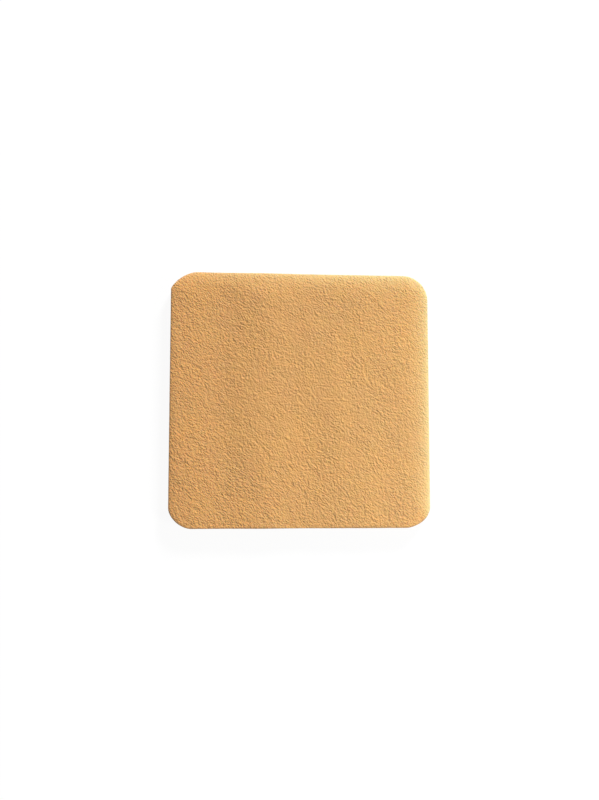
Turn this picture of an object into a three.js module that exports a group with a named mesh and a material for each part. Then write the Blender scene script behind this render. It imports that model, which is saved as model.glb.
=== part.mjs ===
// A borderless silicone foam dressing, lying with its backing film up.
// Three bonded layers, from the skin upwards: a perforated silicone contact layer, an absorbent
// foam pad, and a thin backing film that rolls down over the pad's pressed edge.
// Millimetres, +Z up. The origin is the middle of the skin side, +X is right and +Y is the far side.
import * as THREE from "three";

// Driving sizes of the pad
const padWidth = 100;
const padDepth = 98.2;
const siliconeThickness = 0.4;
const foamThickness = 4.45;
const filmThickness = 0.15;

// The strip of cut foam left bare between the film's edge and the silicone, and how far it draws in
const bareFoamHeight = 1.4;
const foamWaist = 0.25;

// How the film rolls over the edge: run across the top, drop down the side, and roundness.
// The far and right edges are pressed soft, the near and left ones are cut crisp.
const softEdge = { run: 12, drop: 2.6 };
const crispEdge = { run: 0.6, drop: 0.4 };
const edgeRoundness = 2.1;

// Each corner's reach along X and Y, and its roundness: 2 is an ellipse, less is cut flatter
const farRightCorner = { x: 9.8, y: 9.9, roundness: 2 };
const farLeftCorner = { x: 9.9, y: 7.4, roundness: 1.65 };
const nearLeftCorner = { x: 8.4, y: 7.7, roundness: 1.7 };
const nearRightCorner = { x: 10.2, y: 8.1, roundness: 2 };

// The silicone's round perforations, in staggered rows
const perforationDiameter = 2.4;
const perforationPitch = 7;
const perforationMargin = 3.5;

// How finely curves are cut into flats
const cornerSteps = 12;
const edgeSteps = 8;
const perforationSides = 12;

// Heights of the layers above the skin side
const foamBottom = siliconeThickness;
const foamTop = foamBottom + foamThickness;
const padTop = foamTop + filmThickness;
const filmEdge = foamBottom + bareFoamHeight;

// The smallest corner that a ring drawn far inside the outline keeps
const sharpCorner = 0.05;

const edges = { right: softEdge, far: softEdge, left: crispEdge, near: crispEdge };

// The corners in order round the pad, each with the edges on its X and Y sides
const corners = [
  { ...farRightCorner, signX: 1, signY: 1, edgeX: "right", edgeY: "far" },
  { ...farLeftCorner, signX: -1, signY: 1, edgeX: "left", edgeY: "far" },
  { ...nearLeftCorner, signX: -1, signY: -1, edgeX: "left", edgeY: "near" },
  { ...nearRightCorner, signX: 1, signY: -1, edgeX: "right", edgeY: "near" },
];

// A closed ring of points round the pad. For each edge, level gives how far inside the outline
// the ring runs there and at what height; corners pass smoothly from one edge's level to the next.
function ringAround(level) {
  const ring = [];
  for (const corner of corners) {
    const levelX = level(edges[corner.edgeX]);
    const levelY = level(edges[corner.edgeY]);
    const reachX = Math.max(corner.x - levelX.inset, sharpCorner);
    const reachY = Math.max(corner.y - levelY.inset, sharpCorner);
    const centreX = padWidth / 2 - levelX.inset - reachX;
    const centreY = padDepth / 2 - levelY.inset - reachY;
    const turnsFromX = corner.signX * corner.signY > 0;
    for (let step = 0; step <= cornerSteps; step++) {
      const share = turnsFromX ? step / cornerSteps : 1 - step / cornerSteps;
      const angle = (share * Math.PI) / 2;
      const across = Math.cos(angle) ** (2 / corner.roundness);
      const along = Math.sin(angle) ** (2 / corner.roundness);
      const blend = Math.sin(angle) ** 2;
      ring.push(
        new THREE.Vector3(
          corner.signX * (centreX + reachX * across),
          corner.signY * (centreY + reachY * along),
          THREE.MathUtils.lerp(levelX.height, levelY.height, blend),
        ),
      );
    }
  }
  return ring;
}

// A ring at one height and one distance inside the outline
function flatRing(inset, height) {
  return ringAround(() => ({ inset, height }));
}

// The rings of the rolled edge, from the rim of the flat top down to the vertical side.
// Depth 0 is the film's outer face, and filmThickness is its inner face, which the foam fills.
function rolledEdge(depth) {
  const rings = [];
  const deepestDrop = padTop - filmEdge;
  for (let step = 0; step <= edgeSteps; step++) {
    const angle = ((step / edgeSteps) * Math.PI) / 2;
    const outward = Math.sin(angle) ** (2 / edgeRoundness);
    const downward = 1 - Math.cos(angle) ** (2 / edgeRoundness);
    rings.push(
      ringAround((edge) => ({
        inset: depth + Math.max(edge.run - depth, sharpCorner) * (1 - outward),
        height: padTop - depth - (Math.min(edge.drop, deepestDrop) - depth) * downward,
      })),
    );
  }
  return rings;
}

// The triangles that fill a ring's flat inside, facing up
function capTriangles(ring) {
  const outline = ring.map(({ x, y }) => new THREE.Vector2(x, y));
  return THREE.ShapeUtils.triangulateShape(outline, []);
}

// A closed solid through a series of rings, with a flat cap on the first and the last.
// The rings run anticlockwise seen from above, and the first one's cap faces up. Each cell between
// two rings is split along its shorter diagonal, so that faces which touch are split alike.
function loft(rings) {
  const count = rings[0].length;
  const positions = rings.flat().flatMap((point) => point.toArray());
  const triangles = [];
  for (let ring = 0; ring < rings.length - 1; ring++) {
    for (let point = 0; point < count; point++) {
      const next = (point + 1) % count;
      const upper = ring * count;
      const lower = upper + count;
      const fall = rings[ring][point].distanceTo(rings[ring + 1][next]);
      const rise = rings[ring][next].distanceTo(rings[ring + 1][point]);
      if (fall < rise) {
        triangles.push(upper + point, lower + point, lower + next);
        triangles.push(upper + point, lower + next, upper + next);
      } else {
        triangles.push(upper + point, lower + point, upper + next);
        triangles.push(upper + next, lower + point, lower + next);
      }
    }
  }
  const last = (rings.length - 1) * count;
  for (const [a, b, c] of capTriangles(rings[0])) {
    triangles.push(a, b, c);
  }
  for (const [a, b, c] of capTriangles(rings.at(-1))) {
    triangles.push(last + a, last + c, last + b);
  }
  const geometry = new THREE.BufferGeometry();
  geometry.setAttribute("position", new THREE.Float32BufferAttribute(positions, 3));
  geometry.setIndex(triangles);
  geometry.computeVertexNormals();
  return geometry;
}

// The film: over the top, down the side to its cut edge, and back up its inner face
function backingFilm() {
  const outerFace = [...rolledEdge(0), flatRing(0, filmEdge)];
  const innerFace = [...rolledEdge(filmThickness), flatRing(filmThickness, filmEdge)];
  return loft([...outerFace, ...innerFace.reverse()]);
}

// The foam: it fills the film, and below the film's edge its cut side draws in a little
function foamPad() {
  const waistHeight = (filmEdge + foamBottom) / 2;
  return loft([
    ...rolledEdge(filmThickness),
    flatRing(filmThickness, filmEdge),
    flatRing(filmThickness + foamWaist, waistHeight),
    flatRing(filmThickness, foamBottom),
  ]);
}

// Whether a point is at least a given distance inside the silicone's outline
function isInside(x, y, distance) {
  const outline = flatRing(filmThickness + distance, 0);
  let inside = false;
  outline.forEach((a, index) => {
    const b = outline[(index + 1) % outline.length];
    const crosses = a.y > y !== b.y > y;
    if (crosses && x < a.x + ((y - a.y) / (b.y - a.y)) * (b.x - a.x)) {
      inside = !inside;
    }
  });
  return inside;
}

// Centres of the perforations. The middle of the pad lies between two of them.
function perforationCentres() {
  const centres = [];
  const rowPitch = (perforationPitch * Math.sqrt(3)) / 2;
  const rows = Math.ceil(padDepth / 2 / rowPitch);
  const columns = Math.ceil(padWidth / 2 / perforationPitch) + 1;
  const clear = perforationMargin + perforationDiameter / 2;
  for (let row = -rows; row <= rows; row++) {
    const shift = row % 2 === 0 ? 0.5 : 0;
    for (let column = -columns; column <= columns; column++) {
      const x = (column + shift) * perforationPitch;
      const y = row * rowPitch;
      if (isInside(x, y, clear)) {
        centres.push({ x, y });
      }
    }
  }
  return centres;
}

// The silicone: a thin sheet, punched right through so that fluid reaches the foam
function siliconeLayer() {
  const outline = flatRing(filmThickness, 0).map(({ x, y }) => new THREE.Vector2(x, y));
  const sheet = new THREE.Shape(outline);
  for (const { x, y } of perforationCentres()) {
    const hole = new THREE.Path();
    hole.absarc(x, y, perforationDiameter / 2, 0, 2 * Math.PI, true);
    sheet.holes.push(hole);
  }
  return new THREE.ExtrudeGeometry(sheet, {
    depth: siliconeThickness,
    bevelEnabled: false,
    curveSegments: perforationSides / 2,
  });
}

const filmMaterial = new THREE.MeshStandardMaterial({ color: 0xd8a469, roughness: 0.55, metalness: 0 });
const foamMaterial = new THREE.MeshStandardMaterial({ color: 0xf1e9da, roughness: 0.95, metalness: 0 });
const siliconeMaterial = new THREE.MeshStandardMaterial({ color: 0xe6e0d5, roughness: 0.3, metalness: 0 });

const dressing = new THREE.Group();

function addLayer(name, geometry, material) {
  const layer = new THREE.Mesh(geometry, material);
  layer.name = name;
  dressing.add(layer);
}

addLayer("backing_film", backingFilm(), filmMaterial);
addLayer("foam_pad", foamPad(), foamMaterial);
addLayer("silicone_contact_layer", siliconeLayer(), siliconeMaterial);

export default dressing;
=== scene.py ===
import math

import bpy
import numpy as np
from mathutils import Matrix, Vector

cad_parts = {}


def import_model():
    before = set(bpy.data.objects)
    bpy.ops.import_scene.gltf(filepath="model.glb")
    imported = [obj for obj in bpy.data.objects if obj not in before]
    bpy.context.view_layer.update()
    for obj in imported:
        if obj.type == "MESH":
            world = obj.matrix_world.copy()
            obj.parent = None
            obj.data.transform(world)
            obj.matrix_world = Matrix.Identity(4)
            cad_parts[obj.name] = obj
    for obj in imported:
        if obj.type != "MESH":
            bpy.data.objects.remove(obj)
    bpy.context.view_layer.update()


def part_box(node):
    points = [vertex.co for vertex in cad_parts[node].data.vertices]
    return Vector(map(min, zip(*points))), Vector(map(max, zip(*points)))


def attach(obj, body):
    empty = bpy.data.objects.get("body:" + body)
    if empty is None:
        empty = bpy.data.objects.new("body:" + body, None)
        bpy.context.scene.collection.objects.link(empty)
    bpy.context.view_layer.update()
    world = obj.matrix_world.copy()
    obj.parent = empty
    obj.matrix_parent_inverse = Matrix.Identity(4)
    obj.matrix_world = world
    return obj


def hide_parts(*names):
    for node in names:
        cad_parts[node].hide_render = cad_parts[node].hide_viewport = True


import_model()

MM = 0.001

# Sizes of the layers, from the frame
film_low, film_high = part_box("backing_film")
foam_low, foam_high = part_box("foam_pad")
silicone_low, silicone_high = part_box("silicone_contact_layer")
HALF_WIDTH = film_high.x
HALF_DEPTH = film_high.y
PAD_TOP = film_high.z
FILM_EDGE = film_low.z
FILM_THICKNESS = film_high.z - foam_high.z
FOAM_BOTTOM = foam_low.z
FOAM_WAIST = 0.25 * MM
SILICONE_THICKNESS = silicone_high.z - silicone_low.z
LAYER_GAP = 0.02 * MM

# How deep the film's hidden inner face lies behind the roll and the flat top, clear of every crease
BEHIND_CREASES = 1 * MM

# How the film rolls over the pad's edges: run across the top, drop down the side, and roundness.
# The right and far edges are pressed soft, the near one is cut crisp, and the left one dips a little.
SOFT_EDGE = {"run": 12 * MM, "drop": 2.6 * MM}
CRISP_EDGE = {"run": 0.6 * MM, "drop": 0.4 * MM}
DIPPED_EDGE = {"run": 3.3 * MM, "drop": 0.4 * MM}
EDGES = {"right": SOFT_EDGE, "far": SOFT_EDGE, "left": DIPPED_EDGE, "near": CRISP_EDGE}
EDGE_ROUNDNESS = 2.1
HALF_ACROSS = {"right": HALF_WIDTH, "far": HALF_DEPTH, "left": HALF_WIDTH, "near": HALF_DEPTH}

# The corners anticlockwise from the near right one, each with its reach along X and Y and its roundness
CORNERS = [
    {"signs": (1, -1), "reach": (10.2 * MM, 8.1 * MM), "roundness": 2.0, "edges": ("right", "near")},
    {"signs": (1, 1), "reach": (9.8 * MM, 9.9 * MM), "roundness": 2.0, "edges": ("right", "far")},
    {"signs": (-1, 1), "reach": (9.9 * MM, 7.4 * MM), "roundness": 1.65, "edges": ("left", "far")},
    {"signs": (-1, -1), "reach": (8.4 * MM, 7.7 * MM), "roundness": 1.7, "edges": ("left", "near")},
]
CORNER_STEPS = 24

# The silicone's perforations, in staggered rows
HOLE_RADIUS = 1.2 * MM
HOLE_PITCH = 7 * MM
HOLE_MARGIN = 3.5 * MM
HOLE_SIDES = 24
RIM_SOFTNESS = 0.12 * MM


# Outline

def ring(levels, per_side):
    """Points anticlockwise round the pad, from the near right corner, with as many to each side.
    levels gives each edge's (inset, height): how far inside the outline the ring runs, and where."""
    quarter = np.linspace(0, math.pi / 2, CORNER_STEPS + 1)
    curves = []
    for corner in CORNERS:
        inset_x, height_x = levels[corner["edges"][0]]
        inset_y, height_y = levels[corner["edges"][1]]
        sign_x, sign_y = corner["signs"]
        reach_x = max(corner["reach"][0] - inset_x, 0)
        reach_y = max(corner["reach"][1] - inset_y, 0)
        angle = quarter if sign_x * sign_y > 0 else quarter[::-1]
        power = 2 / corner["roundness"]
        x = HALF_WIDTH - inset_x - reach_x * (1 - np.cos(angle).clip(0) ** power)
        y = HALF_DEPTH - inset_y - reach_y * (1 - np.sin(angle).clip(0) ** power)
        z = height_x + (height_y - height_x) * np.sin(angle) ** 2
        curves.append(np.column_stack([sign_x * x, sign_y * y, z]))
    middle = CORNER_STEPS // 2
    points = []
    for index, curve in enumerate(curves):
        following = curves[(index + 1) % len(curves)]
        side = np.vstack([curve[middle:], following[: middle + 1]])
        along = np.concatenate([[0], np.cumsum(np.linalg.norm(np.diff(side, axis=0), axis=1))])
        wanted = np.linspace(0, along[-1], per_side, endpoint=False)
        points.append(np.column_stack([np.interp(wanted, along, side[:, axis]) for axis in range(3)]))
    return np.vstack(points)


def flat_ring(inset, height, per_side):
    """A ring at one height and one distance inside the outline."""
    return ring({edge: (inset, height) for edge in EDGES}, per_side)


def rolled_edge(edge, depth, steps):
    """The roll's (inset, height) pairs from the flat top's rim down, at a depth under the film's face."""
    angle = np.linspace(0, math.pi / 2, steps + 1)
    outward = np.sin(angle) ** (2 / EDGE_ROUNDNESS)
    downward = 1 - np.cos(angle).clip(0) ** (2 / EDGE_ROUNDNESS)
    smallest = 0.05 * MM
    inset = depth + max(edge["run"] - depth, smallest) * (1 - outward)
    height = PAD_TOP - depth - max(edge["drop"] - depth, smallest) * downward
    return np.column_stack([inset, height])


def film_section(edge, half):
    """The film's face from the pad's middle to its cut edge, as (distance, inset, height) rows."""
    roll_steps = 96
    roll = rolled_edge(edge, 0, roll_steps)
    path = np.vstack([[half, PAD_TOP], roll, [0, FILM_EDGE]])
    distance = np.concatenate([[0], np.cumsum(np.linalg.norm(np.diff(path, axis=0), axis=1))])
    return np.column_stack([distance, path])


def film_levels(share):
    """Each edge's (inset, height) at a share of the way from the pad's middle to the film's cut edge."""
    levels = {}
    for name, edge in EDGES.items():
        distance, inset, height = film_section(edge, HALF_ACROSS[name]).T
        reached = share * distance[-1]
        levels[name] = (np.interp(reached, distance, inset), np.interp(reached, distance, height))
    return levels


def flat_levels(share, inset, height):
    """Each edge's (inset, height) at a share of the way across a flat face that ends at an inset."""
    return {name: (half - share * (half - inset), height) for name, half in HALF_ACROSS.items()}


# Meshes

class Shell:
    """Vertices and faces of a closed skin, added ring by ring."""

    def __init__(self):
        self.points = []
        self.faces = []

    def add_points(self, points):
        """Adds points and gives their numbers."""
        start = len(self.points)
        self.points.extend(map(tuple, points))
        return list(range(start, len(self.points)))

    def bridge(self, first, second):
        """Joins two rings with a band of faces."""
        count = len(first)
        for a in range(count):
            b = (a + 1) % count
            self.faces.append((first[a], second[a], second[b], first[b]))

    def cap(self, loop):
        """Closes the skin with one face inside a ring, facing up if the ring runs anticlockwise."""
        self.faces.append(tuple(loop))

    def column(self, rings):
        """A closed skin through a stack of rings, from the lowest up."""
        loop = None
        for points in rings:
            following = self.add_points(points)
            if loop is None:
                self.cap(following[::-1])
            else:
                self.bridge(following, loop)
            loop = following
        self.cap(loop)

    def grid(self, levels_at, cells, facing_up):
        """A face of square cells, whose rings bend from a rectangle in the middle to the pad's outline.
        Gives the numbers of its outermost ring."""
        half = cells // 2
        number = {}
        centre = ring(levels_at(0), 1).mean(axis=0)
        number[0, 0] = self.add_points([centre])[0]
        outermost = []
        for size in range(1, half + 1):
            points = ring(levels_at(size / half), 2 * size)
            places = [(size, step - size) for step in range(2 * size)]
            places += [(size - step, size) for step in range(2 * size)]
            places += [(-size, size - step) for step in range(2 * size)]
            places += [(step - size, -size) for step in range(2 * size)]
            outermost = self.add_points(points)
            number.update(zip(places, outermost))
        for x in range(-half, half):
            for y in range(-half, half):
                face = (number[x, y], number[x + 1, y], number[x + 1, y + 1], number[x, y + 1])
                self.faces.append(face if facing_up else face[::-1])
        return outermost

    def object(self, name, marked=None):
        """The skin as a smooth object. marked maps an attribute's name to its value at each point."""
        mesh = bpy.data.meshes.new(name)
        mesh.from_pydata(self.points, [], self.faces)
        mesh.shade_smooth()
        for attribute, values in (marked or {}).items():
            mesh.attributes.new(attribute, "FLOAT", "POINT").data.foreach_set("value", values)
        made = bpy.data.objects.new(name, mesh)
        bpy.context.scene.collection.objects.link(made)
        return made


# Node trees

def adder(tree):
    """A function that adds a node to the tree, sets its options, and links or fills its inputs."""
    def add(kind, inputs=None, **options):
        node = tree.nodes.new(kind)
        for option, value in options.items():
            setattr(node, option, value)
        for socket, value in (inputs or {}).items():
            if isinstance(value, bpy.types.NodeSocket):
                tree.links.new(value, node.inputs[socket])
            else:
                node.inputs[socket].default_value = value
        return node
    return add


def arithmetic(add):
    """A function for one step of arithmetic on numbers or sockets."""
    def calculate(operation, *values, **options):
        return add("ShaderNodeMath", dict(enumerate(values)), operation=operation, **options).outputs[0]
    return calculate


def new_tree(name, kind, inputs, outputs):
    """An empty tree with named sockets, and the nodes where they come in and go out."""
    tree = bpy.data.node_groups.new(name, kind)
    for socket, (socket_kind, default) in inputs.items():
        made = tree.interface.new_socket(socket, in_out="INPUT", socket_type=socket_kind)
        if default is not None:
            made.default_value = default
    for socket, socket_kind in outputs.items():
        tree.interface.new_socket(socket, in_out="OUTPUT", socket_type=socket_kind)
    return tree, tree.nodes.new("NodeGroupInput").outputs, tree.nodes.new("NodeGroupOutput").inputs


NUMBER = "NodeSocketFloat"
COLOUR = "NodeSocketColor"
SHAPE = "NodeSocketGeometry"
FINISH = "NodeSocketMaterial"
SOLID = "NodeSocketObject"


def shaped_by(tree, base, values):
    """Runs a tree on an object with these values, and keeps the result as the object's plain mesh."""
    modifier = base.modifiers.new(tree.name, "NODES")
    modifier.node_group = tree
    for item in tree.interface.items_tree:
        if item.in_out == "INPUT" and item.name in values:
            modifier[item.identifier] = values[item.name]
    graph = bpy.context.evaluated_depsgraph_get()
    evaluated = base.evaluated_get(graph)
    mesh = bpy.data.meshes.new_from_object(evaluated, preserve_all_data_layers=True, depsgraph=graph)
    base.modifiers.remove(modifier)
    base.data = mesh
    return base


def noise_at(add, place, size, seed, detail=0.0, roughness=0.5, narrowing=2.0):
    """Smooth noise from 0 to 1 whose bumps are about as wide as size. Each further step of detail
    adds bumps narrower by that factor, and as high as roughness says."""
    scale = arithmetic(add)("DIVIDE", 1.0, size)
    settings = {"Vector": place, "W": seed, "Scale": scale, "Detail": detail, "Roughness": roughness}
    node = add("ShaderNodeTexNoise", {**settings, "Lacunarity": narrowing}, noise_dimensions="4D")
    return node.outputs[0]


def along_creases(add, place):
    """Coordinates that draw bumps out from the far left to the near right, and turn them off the
    noise's own grid so that none line up with the sides."""
    turn = {"Vector": place, "Angle": math.radians(-48)}
    turned = add("ShaderNodeVectorRotate", turn, rotation_type="Z_AXIS")
    drawn = add("ShaderNodeVectorMath", {0: turned.outputs[0], 1: (1.2, 0.84, 1)}, operation="MULTIPLY")
    off_grid = {"Vector": drawn.outputs[0], "Rotation": (0.6, 0.45, 0.9)}
    return add("ShaderNodeVectorRotate", off_grid, rotation_type="EULER_XYZ").outputs[0]


def centred(add, noise, reach):
    """Noise from 0 to 1 turned into a swing round 0, with this reach from end to end."""
    calculate = arithmetic(add)
    return calculate("MULTIPLY", calculate("SUBTRACT", noise, 0.5), reach)


def ramp(add, value, start, end):
    """A smooth ramp from 0 where value is start to 1 where it is end."""
    sockets = {"Value": value, "From Min": start, "From Max": end}
    return add("ShaderNodeMapRange", sockets, interpolation_type="SMOOTHSTEP").outputs[0]


# What each noise of a tree adds to the tree's seed, so that no two are alike
SEED_STEPS = {"tint": 5.0, "fold": 7.0, "fold patch": 13.0, "crinkle": 21.0, "wave": 31.0, "patch": 43.0}


def seed_for(add, seed, noise):
    """The seed of one of a tree's noises."""
    return arithmetic(add)("ADD", seed, SEED_STEPS[noise])


def patchy(add, place, size, seed, patchiness):
    """A strength round 1 that is higher in some patches and lower in others."""
    patch = noise_at(add, place, size, seed_for(add, seed, "patch"), detail=1.0)
    return arithmetic(add)("ADD", 1.0, centred(add, patch, patchiness))


def crease_tree():
    """Presses fine creases and dents into the film: a long low ridge between two troughs half as deep,
    and slow waves, all from near to far, a swell, a crinkle that is stronger in some patches, and
    short folds in some places."""
    tree, given, result = new_tree("Film creases", "GeometryNodeTree", {
        "Film": (SHAPE, None),
        "Ridge Place": (NUMBER, 0.0),
        "Ridge Left": (NUMBER, 14 * MM),
        "Ridge Right": (NUMBER, 17 * MM),
        "Ridge Height": (NUMBER, 0.4 * MM),
        "Ridge Wander": (NUMBER, 4 * MM),
        "Wave Size": (NUMBER, 20 * MM),
        "Wave Height": (NUMBER, 0.8 * MM),
        "Swell Size": (NUMBER, 4 * MM),
        "Swell Height": (NUMBER, 0.3 * MM),
        "Crinkle Size": (NUMBER, 1.1 * MM),
        "Crinkle Height": (NUMBER, 0.3 * MM),
        "Patch Size": (NUMBER, 3 * MM),
        "Patchiness": (NUMBER, 1.7),
        "Fold Size": (NUMBER, 2 * MM),
        "Fold Width": (NUMBER, 0.1),
        "Fold Depth": (NUMBER, 0.1 * MM),
        "Seed": (NUMBER, 1.0),
        "Finish": (FINISH, None),
    }, {"Film": SHAPE})
    add = adder(tree)
    calculate = arithmetic(add)
    straight = add("GeometryNodeInputPosition").outputs[0]
    drawn = add("ShaderNodeVectorMath", {0: straight, 1: (1, 0.35, 1)}, operation="MULTIPLY").outputs[0]
    slow = noise_at(add, drawn, given["Wave Size"], seed_for(add, given["Seed"], "wave"), detail=1.0)
    wave = centred(add, slow, given["Wave Height"])
    across = add("ShaderNodeSeparateXYZ", {0: straight}).outputs["X"]
    wander = centred(add, slow, given["Ridge Wander"])
    from_crest = calculate("SUBTRACT", calculate("ADD", across, wander), given["Ridge Place"])
    left_foot = calculate("MULTIPLY", given["Ridge Left"], -1.0)
    left_end = calculate("MULTIPLY", given["Ridge Left"], -2.0)
    right_end = calculate("MULTIPLY", given["Ridge Right"], 2.5)
    ridge_left = ramp(add, from_crest, left_foot, 0.0)
    ridge_right = ramp(add, from_crest, given["Ridge Right"], 0.0)
    ridge = calculate("MINIMUM", ridge_left, ridge_right)
    trough_left = ramp(add, from_crest, left_end, left_foot)
    trough_right = ramp(add, from_crest, right_end, given["Ridge Right"])
    trough = calculate("MULTIPLY", calculate("MINIMUM", trough_left, trough_right), 0.5)
    ridge = calculate("MULTIPLY", calculate("SUBTRACT", ridge, trough), given["Ridge Height"])
    wave = calculate("ADD", wave, ridge)
    place = along_creases(add, straight)
    swell = noise_at(add, place, given["Swell Size"], given["Seed"], detail=1.0)
    swell = centred(add, swell, given["Swell Height"])
    crinkle = noise_at(add, place, given["Crinkle Size"], seed_for(add, given["Seed"], "crinkle"))
    crinkle = centred(add, crinkle, given["Crinkle Height"])
    strength = patchy(add, place, given["Patch Size"], given["Seed"], given["Patchiness"])
    crinkle = calculate("MULTIPLY", crinkle, strength)
    fold = noise_at(add, place, given["Fold Size"], seed_for(add, given["Seed"], "fold"))
    from_line = calculate("ABSOLUTE", calculate("SUBTRACT", fold, 0.5))
    away = calculate("DIVIDE", from_line, given["Fold Width"])
    closeness = calculate("SUBTRACT", 1.0, away, use_clamp=True)
    patch = noise_at(add, place, given["Fold Size"], seed_for(add, given["Seed"], "fold patch"))
    patch = add("ShaderNodeMapRange", {"Value": patch, "From Min": 0.42, "From Max": 0.62}).outputs[0]
    depth = calculate("MULTIPLY", calculate("POWER", closeness, 1.5), patch)
    depth = calculate("MULTIPLY", depth, given["Fold Depth"])
    height = calculate("SUBTRACT", calculate("ADD", calculate("ADD", wave, swell), crinkle), depth)
    face = add("GeometryNodeInputNamedAttribute", {"Name": "outer_face"}, data_type="FLOAT").outputs[0]
    height = calculate("MULTIPLY", height, face)
    normal = add("GeometryNodeInputNormal").outputs[0]
    offset = add("ShaderNodeVectorMath", {0: normal, "Scale": height}, operation="SCALE").outputs[0]
    creased = add("GeometryNodeSetPosition", {"Geometry": given["Film"], "Offset": offset}).outputs[0]
    finish(add, creased, given["Finish"], result)
    return tree


def finish(add, shape, material, result):
    """Ends a tree with plain geometry in one material."""
    shape = add("GeometryNodeRealizeInstances", {0: shape}).outputs[0]
    shape = add("GeometryNodeSetMaterial", {"Geometry": shape, "Material": material}).outputs[0]
    shape.id_data.links.new(shape, result[0])


def lattice_tree():
    """The centres of the perforations: staggered rows, kept where they lie on the perforated area."""
    tree, given, result = new_tree("Perforation centres", "GeometryNodeTree", {
        "Pitch": (NUMBER, HOLE_PITCH),
        "Reach": (NUMBER, 50 * MM),
        "Height": (NUMBER, 0.0),
        "Area": (SOLID, None),
    }, {"Centres": SHAPE})
    add = adder(tree)
    calculate = arithmetic(add)
    row_pitch = calculate("MULTIPLY", given["Pitch"], math.sqrt(3) / 2)
    columns = calculate("CEIL", calculate("DIVIDE", given["Reach"], given["Pitch"]))
    rows = calculate("CEIL", calculate("DIVIDE", given["Reach"], row_pitch))
    twice_columns = calculate("MULTIPLY", columns, 2.0)
    twice_rows = calculate("MULTIPLY", rows, 2.0)
    points = add("GeometryNodeMeshGrid", {
        "Size X": calculate("MULTIPLY", twice_columns, given["Pitch"]),
        "Size Y": calculate("MULTIPLY", twice_rows, row_pitch),
        "Vertices X": calculate("ADD", twice_columns, 1.0),
        "Vertices Y": calculate("ADD", twice_rows, 1.0),
    }).outputs[0]
    place = add("GeometryNodeInputPosition").outputs[0]
    across = add("ShaderNodeSeparateXYZ", {0: place}).outputs
    row = calculate("ROUND", calculate("DIVIDE", across["Y"], row_pitch))
    even = calculate("SUBTRACT", 1.0, calculate("FLOORED_MODULO", row, 2.0))
    shift = calculate("MULTIPLY", even, calculate("MULTIPLY", given["Pitch"], 0.5))
    offset = add("ShaderNodeCombineXYZ", {"X": shift, "Z": given["Height"]}).outputs[0]
    points = add("GeometryNodeSetPosition", {"Geometry": points, "Offset": offset}).outputs[0]
    area = add("GeometryNodeObjectInfo", {"Object": given["Area"]}).outputs["Geometry"]
    above = add("ShaderNodeVectorMath", {0: place, 1: (0, 0, 1)}, operation="ADD").outputs[0]
    over_area = add("GeometryNodeRaycast", {
        "Target Geometry": area,
        "Source Position": above,
        "Ray Direction": (0, 0, -1),
        "Ray Length": 2.0,
    }).outputs["Is Hit"]
    outside = add("FunctionNodeBooleanMath", {0: over_area}, operation="NOT").outputs[0]
    kept = add("GeometryNodeDeleteGeometry", {"Geometry": points, "Selection": outside}).outputs[0]
    tree.links.new(kept, result["Centres"])
    return tree


def centres_from(add, lattice, given, names):
    """The centres of the perforations, with these of the tree's own inputs handed on."""
    return add("GeometryNodeGroup", {name: given[name] for name in names}, node_tree=lattice).outputs[0]


def perforation_tree(lattice):
    """Punches the silicone sheet through at every perforation."""
    tree, given, result = new_tree("Perforated sheet", "GeometryNodeTree", {
        "Sheet": (SHAPE, None),
        "Pitch": (NUMBER, HOLE_PITCH),
        "Reach": (NUMBER, 50 * MM),
        "Area": (SOLID, None),
        "Punch": (SOLID, None),
        "Finish": (FINISH, None),
    }, {"Sheet": SHAPE})
    add = adder(tree)
    centres = centres_from(add, lattice, given, ("Pitch", "Reach", "Area"))
    punch = add("GeometryNodeObjectInfo", {"Object": given["Punch"]}).outputs["Geometry"]
    punches = add("GeometryNodeInstanceOnPoints", {"Points": centres, "Instance": punch}).outputs[0]
    punches = add("GeometryNodeRealizeInstances", {0: punches}).outputs[0]
    meshes = {"Mesh 1": given["Sheet"], "Mesh 2": punches}
    cut = add("GeometryNodeMeshBoolean", meshes, operation="DIFFERENCE", solver="MANIFOLD")
    finish(add, cut.outputs[0], given["Finish"], result)
    return tree


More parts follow.
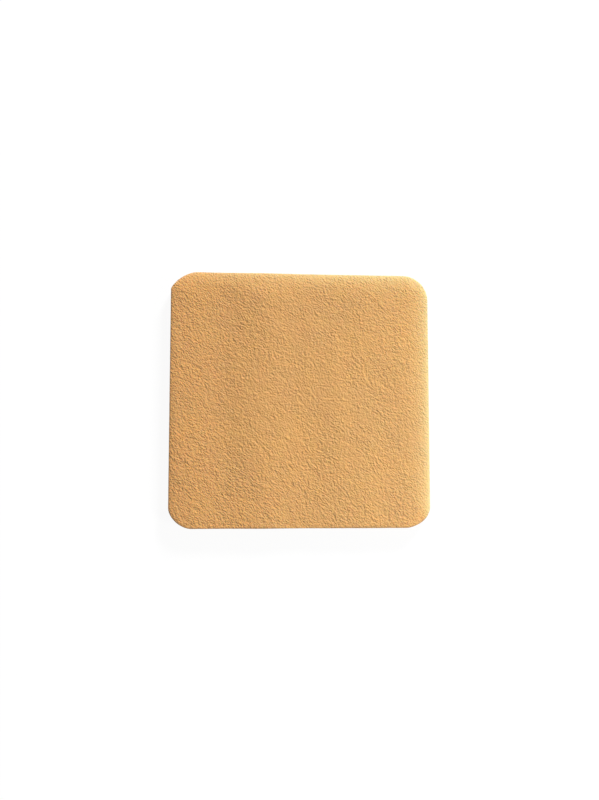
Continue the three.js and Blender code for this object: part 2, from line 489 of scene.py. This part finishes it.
def foam_tree(lattice):
    """Opens cells in the foam's cut faces, and lets it bulge a little into each perforation."""
    tree, given, result = new_tree("Cut foam", "GeometryNodeTree", {
        "Foam": (SHAPE, None),
        "Cell Size": (NUMBER, 0.9 * MM),
        "Cell Depth": (NUMBER, 0.05 * MM),
        "Bulge": (NUMBER, 0.12 * MM),
        "Bulge Radius": (NUMBER, HOLE_RADIUS),
        "Pitch": (NUMBER, HOLE_PITCH),
        "Reach": (NUMBER, 50 * MM),
        "Height": (NUMBER, 0.0),
        "Area": (SOLID, None),
        "Seed": (NUMBER, 1.0),
        "Finish": (FINISH, None),
    }, {"Foam": SHAPE})
    add = adder(tree)
    calculate = arithmetic(add)
    place = add("GeometryNodeInputPosition").outputs[0]
    centres = centres_from(add, lattice, given, ("Pitch", "Reach", "Height", "Area"))
    away = add("GeometryNodeProximity", {"Geometry": centres}, target_element="POINTS")
    near = calculate("DIVIDE", away.outputs["Distance"], given["Bulge Radius"])
    dome = calculate("SUBTRACT", 1.0, calculate("MULTIPLY", near, near), use_clamp=True)
    bulge = calculate("MULTIPLY", dome, given["Bulge"])
    underside = add("GeometryNodeInputNamedAttribute", {"Name": "underside"}, data_type="FLOAT").outputs[0]
    bulge = calculate("MULTIPLY", bulge, underside)
    cell_scale = calculate("DIVIDE", 1.0, given["Cell Size"])
    cells = add("ShaderNodeTexVoronoi", {
        "Vector": place, "W": given["Seed"], "Scale": cell_scale,
    }, voronoi_dimensions="4D", feature="SMOOTH_F1").outputs["Distance"]
    pits = centred(add, cells, given["Cell Depth"])
    cut_face = add("GeometryNodeInputNamedAttribute", {"Name": "cut_face"}, data_type="FLOAT").outputs[0]
    pits = calculate("MULTIPLY", pits, cut_face)
    normal = add("GeometryNodeInputNormal").outputs[0]
    height = calculate("ADD", bulge, pits)
    offset = add("ShaderNodeVectorMath", {0: normal, "Scale": height}, operation="SCALE").outputs[0]
    shaped = add("GeometryNodeSetPosition", {"Geometry": given["Foam"], "Offset": offset}).outputs[0]
    finish(add, shaped, given["Finish"], result)
    return tree


# Finishes

def mottle_group():
    """A colour that drifts in soft patches. It changes four times as much in lightness as in
    saturation, and from hue to hue in patches a third as wide."""
    tree, given, result = new_tree("Mottled colour", "ShaderNodeTree", {
        "Colour": (COLOUR, (0.8, 0.8, 0.8, 1)),
        "Amount": (NUMBER, 0.03),
        "Hue Amount": (NUMBER, 0.0),
        "Patch Size": (NUMBER, 15 * MM),
        "Seed": (NUMBER, 1.0),
    }, {"Colour": COLOUR, "Mask": NUMBER})
    add = adder(tree)
    calculate = arithmetic(add)
    place = add("ShaderNodeTexCoord").outputs["Object"]
    mask = noise_at(add, place, given["Patch Size"], given["Seed"], detail=3.0, roughness=0.6)
    swing = centred(add, mask, given["Amount"])
    value = calculate("ADD", 1.0, calculate("MULTIPLY", swing, 4.0))
    drawn = add("ShaderNodeVectorMath", {0: place, 1: (1, 0.6, 1)}, operation="MULTIPLY").outputs[0]
    tint_size = calculate("MULTIPLY", given["Patch Size"], 0.35)
    tint_seed = seed_for(add, given["Seed"], "tint")
    tint = noise_at(add, drawn, tint_size, tint_seed, detail=2.0, roughness=0.6)
    hue = calculate("ADD", 0.5, centred(add, tint, given["Hue Amount"]))
    saturation = calculate("ADD", 1.0, swing)
    shaded = add("ShaderNodeHueSaturation", {
        "Color": given["Colour"], "Hue": hue, "Saturation": saturation, "Value": value,
    }).outputs[0]
    tree.links.new(shaded, result["Colour"])
    tree.links.new(mask, result["Mask"])
    return tree


def grain_group():
    """The height of a fine irregular grain, from 0 to 1."""
    tree, given, result = new_tree("Fine grain", "ShaderNodeTree", {
        "Grain Size": (NUMBER, 0.6 * MM),
        "Detail": (NUMBER, 1.0),
        "Patch Size": (NUMBER, 3 * MM),
        "Patchiness": (NUMBER, 0.0),
        "Seed": (NUMBER, 1.0),
    }, {"Height": NUMBER})
    add = adder(tree)
    place = along_creases(add, add("ShaderNodeTexCoord").outputs["Object"])
    steps = {"detail": given["Detail"], "roughness": 0.8, "narrowing": 1.5}
    grain = noise_at(add, place, given["Grain Size"], given["Seed"], **steps)
    strength = patchy(add, place, given["Patch Size"], given["Seed"], given["Patchiness"])
    height = arithmetic(add)("ADD", centred(add, grain, strength), 0.5)
    tree.links.new(height, result["Height"])
    return tree


MOTTLE = mottle_group()
GRAIN = grain_group()


def new_material(name):
    """An empty material with its shader, and a function that adds nodes to it."""
    material = bpy.data.materials.new(name)
    material.use_nodes = True
    tree = material.node_tree
    return material, adder(tree), tree.nodes["Principled BSDF"].inputs, tree.links


def film_material():
    """Tan polyurethane film with a soft satin shine. Painted light makes it lighter and yellower from left
    to right, and a painted highlight makes it paler where it rolls over the right and far edges."""
    material, add, shader, links = new_material("tan_film")
    across = add("ShaderNodeSeparateXYZ", {0: add("ShaderNodeTexCoord").outputs["Object"]}).outputs["X"]
    painted_light_towards_right = add("ShaderNodeMapRange", {"Value": across, "From Min": -HALF_WIDTH, "From Max": HALF_WIDTH})
    # Painted light: the tan is lighter and yellower towards the right, the side the light falls from
    tan = add("ShaderNodeMix", {
        "Factor": painted_light_towards_right.outputs[0], 6: (0.664, 0.345, 0.115, 1), 7: (0.711, 0.401, 0.144, 1),
    }, data_type="RGBA")
    mottle = add("ShaderNodeGroup", {
        "Colour": tan.outputs[2], "Amount": 0.05, "Hue Amount": 0.012, "Patch Size": 14 * MM,
    }, node_tree=MOTTLE)
    grain = add("ShaderNodeGroup", {"Grain Size": 0.75 * MM, "Patchiness": 2.0}, node_tree=GRAIN)
    bump = add("ShaderNodeBump", {"Height": grain.outputs[0], "Distance": 0.68 * MM, "Strength": 1.0})
    painted_rim_highlight = add("ShaderNodeAttribute", attribute_name="painted_rim_highlight").outputs["Fac"]
    # Painted highlight: pale yellow over the roll on the right and far edges, where the lamps light the film
    # most
    colour = add("ShaderNodeMix", {
        "Factor": painted_rim_highlight, 6: mottle.outputs["Colour"], 7: (0.69, 0.61, 0.29, 1),
    }, data_type="RGBA")
    gloss = add("ShaderNodeMapRange", {"Value": mottle.outputs["Mask"], "To Min": 0.46, "To Max": 0.6})
    links.new(colour.outputs[2], shader["Base Color"])
    links.new(gloss.outputs[0], shader["Roughness"])
    links.new(bump.outputs[0], shader["Normal"])
    shader["IOR"].default_value = 1.5
    shader["Specular IOR Level"].default_value = 0.65
    shader["Subsurface Weight"].default_value = 0.25
    shader["Subsurface Radius"].default_value = (1.0, 0.45, 0.15)
    shader["Subsurface Scale"].default_value = 0.4 * MM
    return material


def foam_material():
    """Cream open-cell foam, with painted shade darkening the inside of its cells."""
    material, add, shader, links = new_material("cream_foam")
    place = add("ShaderNodeTexCoord").outputs["Object"]
    cells = add("ShaderNodeTexVoronoi", {"Vector": place, "Scale": 1 / (0.42 * MM)}).outputs["Distance"]
    fine_cells = add("ShaderNodeTexVoronoi", {"Vector": place, "Scale": 1 / (0.2 * MM)}).outputs["Distance"]
    depth = arithmetic(add)("ADD", cells, arithmetic(add)("MULTIPLY", fine_cells, 0.4))
    mottle = add("ShaderNodeGroup", {"Colour": (0.86, 0.8, 0.68, 1), "Amount": 0.03}, node_tree=MOTTLE)
    # Painted shade: the cream turns brown-grey inside the cells, where shade falls
    inside = add("ShaderNodeMapRange", {"Value": depth, "From Min": 0.1, "From Max": 0.8})
    painted_cell_shade = add("ShaderNodeMix", {
        "Factor": inside.outputs[0], 6: (0.55, 0.47, 0.36, 1), 7: mottle.outputs["Colour"],
    }, data_type="RGBA")
    bump = add("ShaderNodeBump", {"Height": depth, "Distance": 0.15 * MM, "Strength": 1.0})
    links.new(painted_cell_shade.outputs[2], shader["Base Color"])
    links.new(bump.outputs[0], shader["Normal"])
    shader["Roughness"].default_value = 0.95
    shader["Specular IOR Level"].default_value = 0.2
    return material


def silicone_material():
    """Soft off-white silicone, a little cloudy, with a wet-looking shine."""
    material, add, shader, links = new_material("soft_silicone")
    mottle = add("ShaderNodeGroup", {
        "Colour": (0.78, 0.74, 0.66, 1), "Amount": 0.02, "Patch Size": 9 * MM,
    }, node_tree=MOTTLE)
    grain = add("ShaderNodeGroup", {"Grain Size": 1.8 * MM}, node_tree=GRAIN)
    bump = add("ShaderNodeBump", {"Height": grain.outputs[0], "Distance": 0.05 * MM, "Strength": 1.0})
    gloss = add("ShaderNodeMapRange", {"Value": mottle.outputs["Mask"], "To Min": 0.2, "To Max": 0.34})
    links.new(mottle.outputs["Colour"], shader["Base Color"])
    links.new(gloss.outputs[0], shader["Roughness"])
    links.new(bump.outputs[0], shader["Normal"])
    shader["IOR"].default_value = 1.41
    shader["Subsurface Weight"].default_value = 0.4
    shader["Subsurface Radius"].default_value = (1.0, 0.8, 0.6)
    shader["Subsurface Scale"].default_value = 0.6 * MM
    return material


# Pieces

def film_marks(points, face_count, cut_edge):
    """How strongly each of the film's points is creased, and how strong the painted highlight is there.
    The creases fade as the film rolls down, and end at its cut edge. The painted highlight lies where
    the film rolls over the right and far sides, which the lamps light most, and most so on the right."""
    crease_fade = 0.5 * MM
    least_creased = 0.15
    x, y, z = points.T
    depth = PAD_TOP - z
    creased = np.zeros(len(points), np.float32)
    creased[:face_count] = (1 - depth[:face_count] / crease_fade).clip(least_creased, 1)
    creased[cut_edge] = 0
    # Painted highlight: on the roll over the right and far sides, strongest towards the right and part way
    # down
    side_fade = 5 * MM
    from_soft_sides = np.minimum(HALF_WIDTH - x, HALF_DEPTH - y)
    from_other_sides = np.minimum(HALF_WIDTH + x, HALF_DEPTH + y)
    on_soft_side = ((from_other_sides - from_soft_sides) / side_fade).clip(0, 1)
    on_soft_side *= (0.5 + 0.5 * x / HALF_WIDTH).clip(0, 1) ** 0.7
    down_roll = np.interp(depth, [0, SOFT_EDGE["drop"], PAD_TOP - FILM_EDGE], [0, 1, 0.5])
    return {"outer_face": creased, "painted_rim_highlight": on_soft_side * down_roll**1.2}


def backing_film():
    """The tan film: creased over its whole face, rolled over the edges, and cut off part way down."""
    cells = 304
    shell = Shell()
    outer = shell.grid(film_levels, cells, facing_up=True)
    face_points = len(shell.points)
    roll_steps = 2
    rolls = {name: rolled_edge(edge, BEHIND_CREASES, roll_steps) for name, edge in EDGES.items()}
    inner_rings = [flat_ring(FILM_THICKNESS, FILM_EDGE, cells)]
    for step in range(roll_steps, -1, -1):
        inner_rings.append(ring({name: tuple(roll[step]) for name, roll in rolls.items()}, cells))
    loop = outer
    for points in inner_rings:
        following = shell.add_points(points)
        shell.bridge(loop, following)
        loop = following
    shell.cap(loop[::-1])
    film = shell.object("creased_film", film_marks(np.array(shell.points), face_points, outer))
    return shaped_by(crease_tree(), film, {
        "Ridge Place": -16 * MM,
        "Ridge Left": 14 * MM,
        "Ridge Right": 17 * MM,
        "Ridge Height": 0.75 * MM,
        "Ridge Wander": 4 * MM,
        "Wave Size": 20 * MM,
        "Wave Height": 0.95 * MM,
        "Swell Size": 4.5 * MM,
        "Swell Height": 0.23 * MM,
        "Crinkle Size": 1 * MM,
        "Crinkle Height": 0.325 * MM,
        "Patch Size": 3 * MM,
        "Patchiness": 2.0,
        "Fold Size": 1.5 * MM,
        "Fold Width": 0.1,
        "Fold Depth": 0.09 * MM,
        "Seed": 3.0,
        "Finish": film_material(),
    })


def perforated_area():
    """The flat area of the underside that holds perforations, as a guide for the trees."""
    per_side = 100
    inset = FILM_THICKNESS + HOLE_MARGIN + HOLE_RADIUS
    shell = Shell()
    shell.cap(shell.add_points(flat_ring(inset, 0, per_side)))
    return shell.object("perforated_area")


def foam_pad(lattice, area):
    """The foam: plain inside the film, with open cells on its cut side and on its underside."""
    cells = 280
    wall_steps = 8
    surface = FILM_THICKNESS + LAYER_GAP
    shell = Shell()
    outer = shell.grid(lambda share: flat_levels(share, surface, FOAM_BOTTOM), cells, facing_up=False)
    underside_points = len(shell.points)
    loop = outer
    for step in range(1, wall_steps + 1):
        share = step / wall_steps
        waist = FOAM_WAIST * math.sin(math.pi * share)
        height = FOAM_BOTTOM + (FILM_EDGE - FOAM_BOTTOM) * share
        following = shell.add_points(flat_ring(surface + waist, height, cells))
        shell.bridge(following, loop)
        loop = following
    cut_points = len(shell.points)
    roll_steps = 5
    hidden = BEHIND_CREASES + LAYER_GAP
    rolls = {name: rolled_edge(edge, hidden, roll_steps) for name, edge in EDGES.items()}
    for step in range(roll_steps, -1, -1):
        following = shell.add_points(ring({name: tuple(roll[step]) for name, roll in rolls.items()}, cells))
        shell.bridge(following, loop)
        loop = following
    shell.cap(loop)
    underside = np.zeros(len(shell.points), np.float32)
    underside[:underside_points] = 1
    cut_face = np.zeros(len(shell.points), np.float32)
    cut_face[:cut_points] = 1
    cut_face[outer] = 0
    cut_face[loop] = 0
    foam = shell.object("foam_block", {"underside": underside, "cut_face": cut_face})
    return shaped_by(foam_tree(lattice), foam, {
        "Cell Size": 0.9 * MM,
        "Cell Depth": 0.06 * MM,
        "Bulge": 0.12 * MM,
        "Bulge Radius": HOLE_RADIUS,
        "Pitch": HOLE_PITCH,
        "Reach": HALF_WIDTH,
        "Height": FOAM_BOTTOM,
        "Area": area,
        "Seed": 5.0,
        "Finish": foam_material(),
    })


def punch():
    """The tool that cuts one perforation: a round rod that flares where it leaves the sheet. The flare
    is given as shares of the rim's softness, up and out."""
    half = SILICONE_THICKNESS / 2
    clear = 0.05 * MM
    turn = np.linspace(0, 2 * math.pi, HOLE_SIDES, endpoint=False)
    flare = [(0, 0), (0.3, 0.05), (0.7, 0.3), (1, 1), (1 + clear / RIM_SOFTNESS, 1.4)]
    profile = [(half - RIM_SOFTNESS * (1 - up), HOLE_RADIUS + RIM_SOFTNESS * out) for up, out in flare]
    profile = [(-height, radius) for height, radius in profile[::-1]] + profile
    shell = Shell()
    shell.column([
        [(radius * math.cos(a), radius * math.sin(a), half + height) for a in turn]
        for height, radius in profile
    ])
    return shell.object("punch")


def silicone_layer(lattice, area):
    """The silicone: a thin sheet with softly rimmed perforations."""
    per_side = 120
    soft = RIM_SOFTNESS
    part = 0.3 * soft
    top = silicone_high.z - LAYER_GAP
    side = [(soft, 0), (part, part), (0, soft), (0, top - soft), (part, top - part), (soft, top)]
    shell = Shell()
    shell.column([flat_ring(FILM_THICKNESS + inset, height, per_side) for inset, height in side])
    sheet = shell.object("perforated_silicone")
    tool = punch()
    made = shaped_by(perforation_tree(lattice), sheet, {
        "Pitch": HOLE_PITCH,
        "Reach": HALF_WIDTH,
        "Area": area,
        "Punch": tool,
        "Finish": silicone_material(),
    })
    made.data.shade_smooth()
    made.data.set_sharp_from_angle(angle=math.radians(20))
    bpy.data.objects.remove(tool)
    return made


# Stage

def seen_plainly(add):
    """A mask for the rays that show a background: the camera's own, mirrored and passed through."""
    ray = add("ShaderNodeLightPath").outputs
    mirrored = arithmetic(add)("MAXIMUM", ray["Is Camera Ray"], ray["Is Glossy Ray"])
    return arithmetic(add)("MAXIMUM", mirrored, ray["Is Transmission Ray"])


def floor():
    """A pale floor that shows white, keeps the object's soft shadow, and bounces plain light. Round the
    pad its own glow is a little weaker, because the lamps add to it there."""
    size = 4.0
    mesh = bpy.data.meshes.new("floor")
    corners = [(-size, -size, 0), (size, -size, 0), (size, size, 0), (-size, size, 0)]
    mesh.from_pydata(corners, [], [(0, 1, 2, 3)])
    made = bpy.data.objects.new("floor", mesh)
    bpy.context.scene.collection.objects.link(made)
    material, add, _, links = new_material("pale_floor")
    place = add("ShaderNodeTexCoord").outputs["Object"]
    away = add("ShaderNodeVectorMath", {0: place}, operation="LENGTH").outputs["Value"]
    strength = add("ShaderNodeMapRange", {
        "Value": away, "From Min": 0.15, "From Max": 0.6, "To Min": 0.92, "To Max": 1.0,
    }).outputs[0]
    glow = add("ShaderNodeEmission", {"Color": (1, 1, 1, 1), "Strength": strength}).outputs[0]
    shadow_catcher = add("ShaderNodeBsdfDiffuse", {"Color": (0.1, 0.1, 0.1, 1)}).outputs[0]
    pale = add("ShaderNodeAddShader", {0: glow, 1: shadow_catcher}).outputs[0]
    plain = add("ShaderNodeBsdfDiffuse", {"Color": (0.8, 0.8, 0.8, 1)}).outputs[0]
    surface = add("ShaderNodeMixShader", {0: seen_plainly(add), 1: plain, 2: pale}).outputs[0]
    links.new(surface, material.node_tree.nodes["Material Output"].inputs["Surface"])
    mesh.materials.append(material)
    return made


def world():
    """Even light from all round, seen as white."""
    ambient = 0.3
    made = bpy.data.worlds.new("soft_surround")
    bpy.context.scene.world = made
    made.use_nodes = True
    add = adder(made.node_tree)
    background = made.node_tree.nodes["Background"].inputs
    strength = {"Value": seen_plainly(add), "To Min": ambient, "To Max": 1.0}
    made.node_tree.links.new(add("ShaderNodeMapRange", strength).outputs[0], background["Strength"])
    background["Color"].default_value = (1, 1, 1, 1)


def lamp(name, azimuth, elevation, distance, size, share):
    """A soft lamp that lights the pad's flat face with this share of full light. Azimuth 0 is along +X.
    Nothing mirrors the lamp, because the satin film would glare white in a low view towards it."""
    turn, rise = math.radians(azimuth), math.radians(elevation)
    towards = Vector((math.cos(turn) * math.cos(rise), math.sin(turn) * math.cos(rise), math.sin(rise)))
    data = bpy.data.lights.new(name, "AREA")
    data.shape = "DISK"
    data.size = size
    data.energy = share * math.pi**2 * distance**2 / math.sin(rise)
    made = bpy.data.objects.new(name, data)
    made.location = towards * distance
    made.rotation_euler = towards.to_track_quat("Z", "Y").to_euler()
    made.visible_glossy = False
    bpy.context.scene.collection.objects.link(made)


def camera():
    """Straight above the pad but a little to its near left, as the photograph was taken."""
    aim = Vector((-0.37, -0.01, 0)) * MM
    tilt_left, tilt_near = math.radians(4.69), math.radians(5.03)
    distance = 330 * MM
    focal_pixels = 851.0
    frame_height = 800
    back = Vector((-math.sin(tilt_left), -math.sin(tilt_near), 0))
    back.z = math.sqrt(1 - back.x**2 - back.y**2)
    right = Vector((0, 1, 0)).cross(back).normalized()
    up = back.cross(right)
    data = bpy.data.cameras.new("camera")
    data.sensor_width = 36
    data.lens = focal_pixels * data.sensor_width / frame_height
    data.clip_start = 0.01
    made = bpy.data.objects.new("camera", data)
    turn = Matrix((right, up, back)).transposed().to_4x4()
    made.matrix_world = Matrix.Translation(aim + back * distance) @ turn
    bpy.context.scene.collection.objects.link(made)
    bpy.context.scene.camera = made


def main():
    camera()
    world()
    lamp("key_lamp", azimuth=66, elevation=22, distance=2.0, size=0.5, share=0.51)
    lamp("side_lamp", azimuth=-29, elevation=30, distance=0.33, size=0.1, share=0.22)
    floor()

    area = perforated_area()
    lattice = lattice_tree()
    film = backing_film()
    foam = foam_pad(lattice, area)
    silicone = silicone_layer(lattice, area)
    bpy.data.objects.remove(area)

    dressed = [
        (film, "backing_film", "film"),
        (foam, "foam_pad", "foam"),
        (silicone, "silicone_contact_layer", "silicone"),
    ]
    for piece, node, slot in dressed:
        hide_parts(node)
        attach(piece, "root")

    bpy.context.scene.view_settings.view_transform = "Standard"


main()
